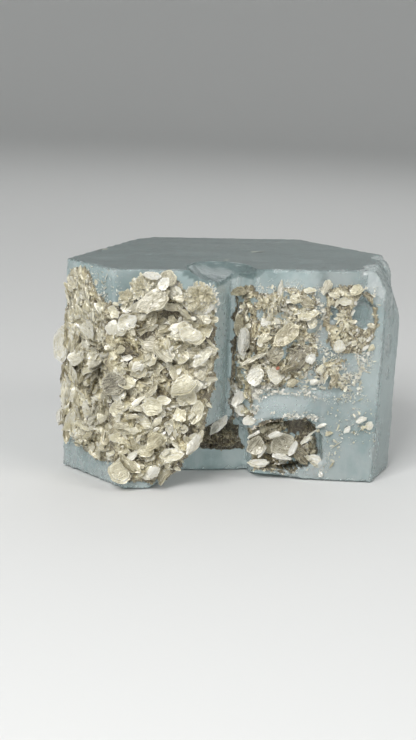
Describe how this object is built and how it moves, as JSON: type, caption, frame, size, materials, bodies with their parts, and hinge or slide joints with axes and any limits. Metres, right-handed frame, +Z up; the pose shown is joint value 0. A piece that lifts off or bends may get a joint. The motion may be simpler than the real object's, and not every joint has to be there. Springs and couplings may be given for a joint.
{
  "type": "aquamarine crystal specimen with muscovite mica",
  "caption": "Stubby pale blue hexagonal beryl prism with a flat top, a parallel-grown step on its front, and silvery muscovite mica rosettes on its front faces.",
  "frame": {"origin": "on the flat base, on the crystal's long axis: the base mount's point", "axes": "+Z up along the crystal's c axis, -Y the mica-covered front, +X towards the bare right-hand side"},
  "size_m": [0.0856, 0.0668, 0.0522],
  "materials": {
    "beryl": "cloudy pale blue-grey beryl, glassy crystal faces with frosted, lightly etched patches and chipped edges",
    "mica": "pearly silver-beige muscovite flakes, straw yellow to brown between them, bright on the broad faces"
  },
  "bodies": {
    "root": {"aquamarine_crystal": "beryl", "mica_left_cluster": "mica", "mica_arch_crust": "mica", "mica_groove_books": "mica", "mica_upper_cluster": "mica", "mica_right_ring": "mica", "mica_middle_flecks": "mica", "mica_lower_cluster": "mica", "mica_corner_fleck": "mica"}
  },
  "joints": []
}
